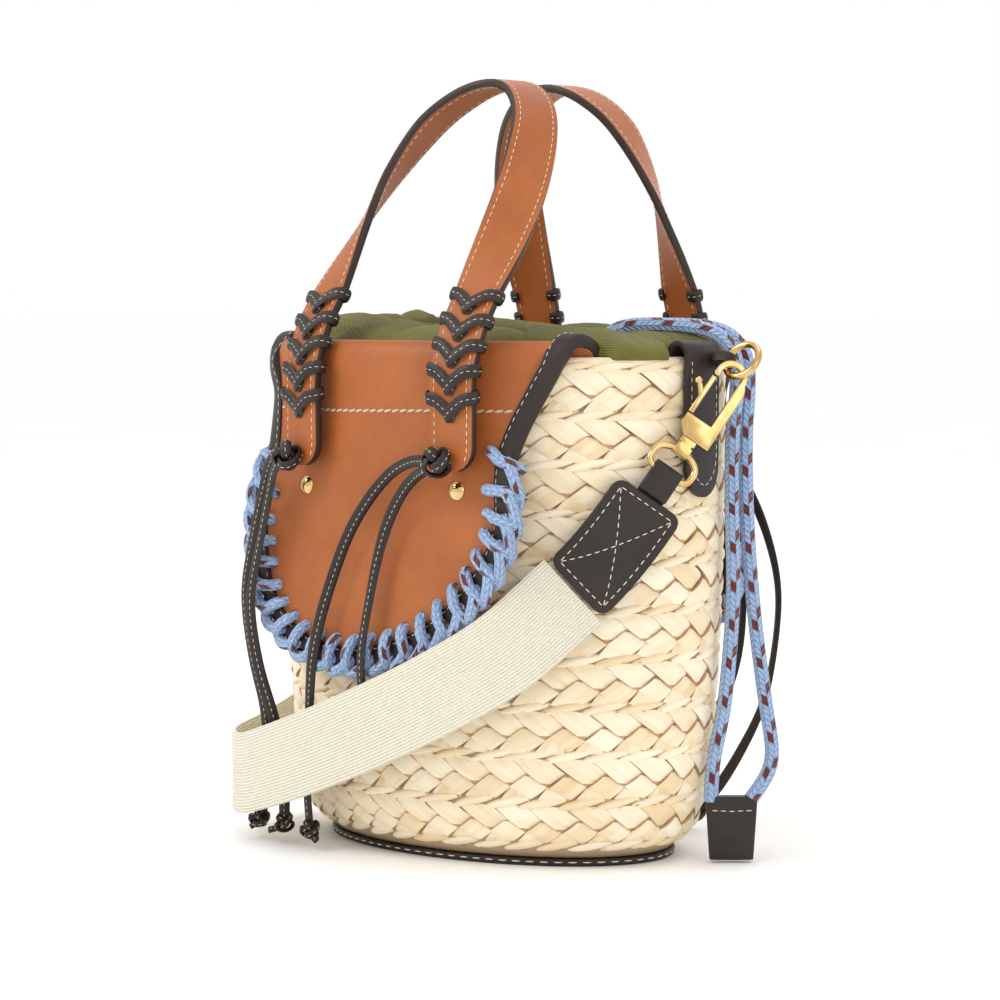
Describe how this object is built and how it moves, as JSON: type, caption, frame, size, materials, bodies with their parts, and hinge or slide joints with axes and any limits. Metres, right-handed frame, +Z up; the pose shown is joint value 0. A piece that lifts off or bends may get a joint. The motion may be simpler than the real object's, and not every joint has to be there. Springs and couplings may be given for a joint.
{
  "type": "bucket bag",
  "caption": "Oval plaited palm-leaf bucket bag with drawstring liner, leather flaps, laced top handles, cord and a clip-on webbing shoulder strap.",
  "frame": {"origin": "centre of the base panel's underside, on the surface the bag stands on", "axes": "+Z up, front flap towards -Y, +X towards the end of the oval where the drawcord hangs"},
  "size_m": [0.281, 0.1992, 0.3418],
  "materials": {
    "palm": "plaited dried palm leaf, satin, pale straw with warm edges",
    "tan_leather": "smooth tan leather with fine grain",
    "dark_leather": "dark brown leather with cream stitching",
    "thong": "flat dark brown leather thong with cream stitch",
    "olive_twill": "olive cotton twill",
    "braided_cord": "round braided cord, pale blue with rust flecks",
    "canvas": "ribbed cream cotton webbing",
    "gold": "polished pale gold plating"
  },
  "bodies": {
    "basket": {"basket_wall": "palm", "basket_bottom": "palm", "base_panel": "dark_leather", "liner_pouch": "olive_twill", "liner_collar": "olive_twill", "drawcord_loop": "braided_cord", "front_flap": "tan_leather", "front_flap_binding": "dark_leather", "front_flap_edge_rope": "braided_cord", "front_right_leg": "tan_leather", "front_right_lacing": "thong", "front_right_knot": "thong", "front_right_rivet": "gold", "front_right_tail_1": "thong", "front_right_tail_2": "thong", "front_left_leg": "tan_leather", "front_left_lacing": "thong", "front_left_knot": "thong", "front_left_rivet": "gold", "front_left_tail_1": "thong", "front_left_tail_2": "thong", "back_flap": "tan_leather", "back_flap_binding": "dark_leather", "back_flap_edge_rope": "braided_cord", "back_right_leg": "tan_leather", "back_right_lacing": "thong", "back_right_knot": "thong", "back_right_rivet": "gold", "back_right_tail_1": "thong", "back_right_tail_2": "thong", "back_left_leg": "tan_leather", "back_left_lacing": "thong", "back_left_knot": "thong", "back_left_rivet": "gold", "back_left_tail_1": "thong", "back_left_tail_2": "thong", "right_side_tab": "dark_leather", "left_side_tab": "dark_leather", "drawcord_front_end": "braided_cord", "drawcord_back_end": "braided_cord", "drawcord_end_tab": "dark_leather"},
    "front_handle": {"front_handle": "tan_leather"},
    "back_handle": {"back_handle": "tan_leather"},
    "shoulder_strap": {"strap_webbing": "canvas", "right_hook_eye": "gold", "right_strap_loop": "dark_leather", "right_strap_patch": "dark_leather", "right_ring": "gold", "right_ring_keeper": "dark_leather", "left_hook_eye": "gold", "left_strap_loop": "dark_leather", "left_strap_patch": "dark_leather", "left_ring": "gold", "left_ring_keeper": "dark_leather"},
    "right_hook": {"right_hook_body": "gold"},
    "right_trigger": {"right_hook_trigger": "gold"},
    "left_hook": {"left_hook_body": "gold"},
    "left_trigger": {"left_hook_trigger": "gold"}
  },
  "joints": [
    {"name": "strap_swing", "type": "hinge", "parent": "basket", "child": "shoulder_strap", "pos_m": [0, 0.006, 0.2185], "axis": [1, 0, 0], "range_deg": [-75, 0]},
    {"name": "front_handle_fold", "type": "hinge", "parent": "basket", "child": "front_handle", "pos_m": [0, -0.071, 0.246], "axis": [1, 0, 0], "range_deg": [-5, 80]},
    {"name": "back_handle_fold", "type": "hinge", "parent": "basket", "child": "back_handle", "pos_m": [0, 0.07609, 0.246], "axis": [-1, 0, 0], "range_deg": [-5, 80]},
    {"name": "right_hook_swivel", "type": "hinge", "parent": "shoulder_strap", "child": "right_hook", "pos_m": [0.12883, 0.00175, 0.21208], "axis": [-0.2708, -0.5317, -0.8025], "range_deg": [-30, 1]},
    {"name": "right_trigger_press", "type": "hinge", "parent": "right_hook", "child": "right_trigger", "pos_m": [0.11901, -0.01351, 0.19746], "axis": [-0.7388, 0.6492, -0.1808], "range_deg": [0, 15], "stiffness_Nm_per_rad": 0.01, "springref_deg": -5.73},
    {"name": "left_hook_swivel", "type": "hinge", "parent": "shoulder_strap", "child": "left_hook", "pos_m": [-0.131, 0.00961, 0.21136], "axis": [0, 0.4512, -0.8924], "range_deg": [-30, 30]},
    {"name": "left_trigger_press", "type": "hinge", "parent": "left_hook", "child": "left_trigger", "pos_m": [-0.131, 0.01436, 0.18855], "axis": [-1, 0, 0], "range_deg": [0, 15], "stiffness_Nm_per_rad": 0.01, "springref_deg": -5.73}
  ]
}
